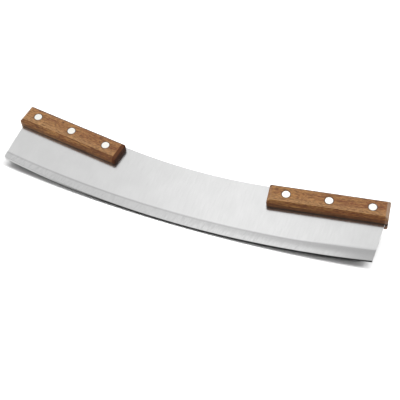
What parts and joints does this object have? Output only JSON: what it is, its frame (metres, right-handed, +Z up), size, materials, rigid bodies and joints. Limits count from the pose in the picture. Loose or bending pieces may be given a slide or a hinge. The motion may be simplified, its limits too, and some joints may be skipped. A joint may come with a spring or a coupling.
{
  "type": "rocking pizza knife",
  "caption": "Long rocking knife for pizza: a wide bevelled steel blade with a curved cutting edge and a riveted wooden handle at each end.",
  "frame": {"origin": "on the surface that the knife lies on, under the middle of its bounding box", "axes": "+X along the knife from the left handle to the right one, +Y from the cutting edge towards the spine and the handles, +Z up from the surface; the knife lies on its back scales and its cutting edge, as in the picture"},
  "size_m": [0.3678, 0.0804, 0.0239],
  "materials": {
    "blade_steel": "fine satin, with grinding marks across the bevel",
    "handle_wood": "oiled, fine straight grain",
    "rivet_metal": "polished"
  },
  "bodies": {
    "root": {"blade": "blade_steel", "scale_left_front": "handle_wood", "scale_left_back": "handle_wood", "rivet_left_inner_male": "rivet_metal", "rivet_left_inner_female": "rivet_metal", "rivet_left_middle_male": "rivet_metal", "rivet_left_middle_female": "rivet_metal", "rivet_left_outer_male": "rivet_metal", "rivet_left_outer_female": "rivet_metal", "scale_right_front": "handle_wood", "scale_right_back": "handle_wood", "rivet_right_inner_male": "rivet_metal", "rivet_right_inner_female": "rivet_metal", "rivet_right_middle_male": "rivet_metal", "rivet_right_middle_female": "rivet_metal", "rivet_right_outer_male": "rivet_metal", "rivet_right_outer_female": "rivet_metal"}
  },
  "joints": []
}
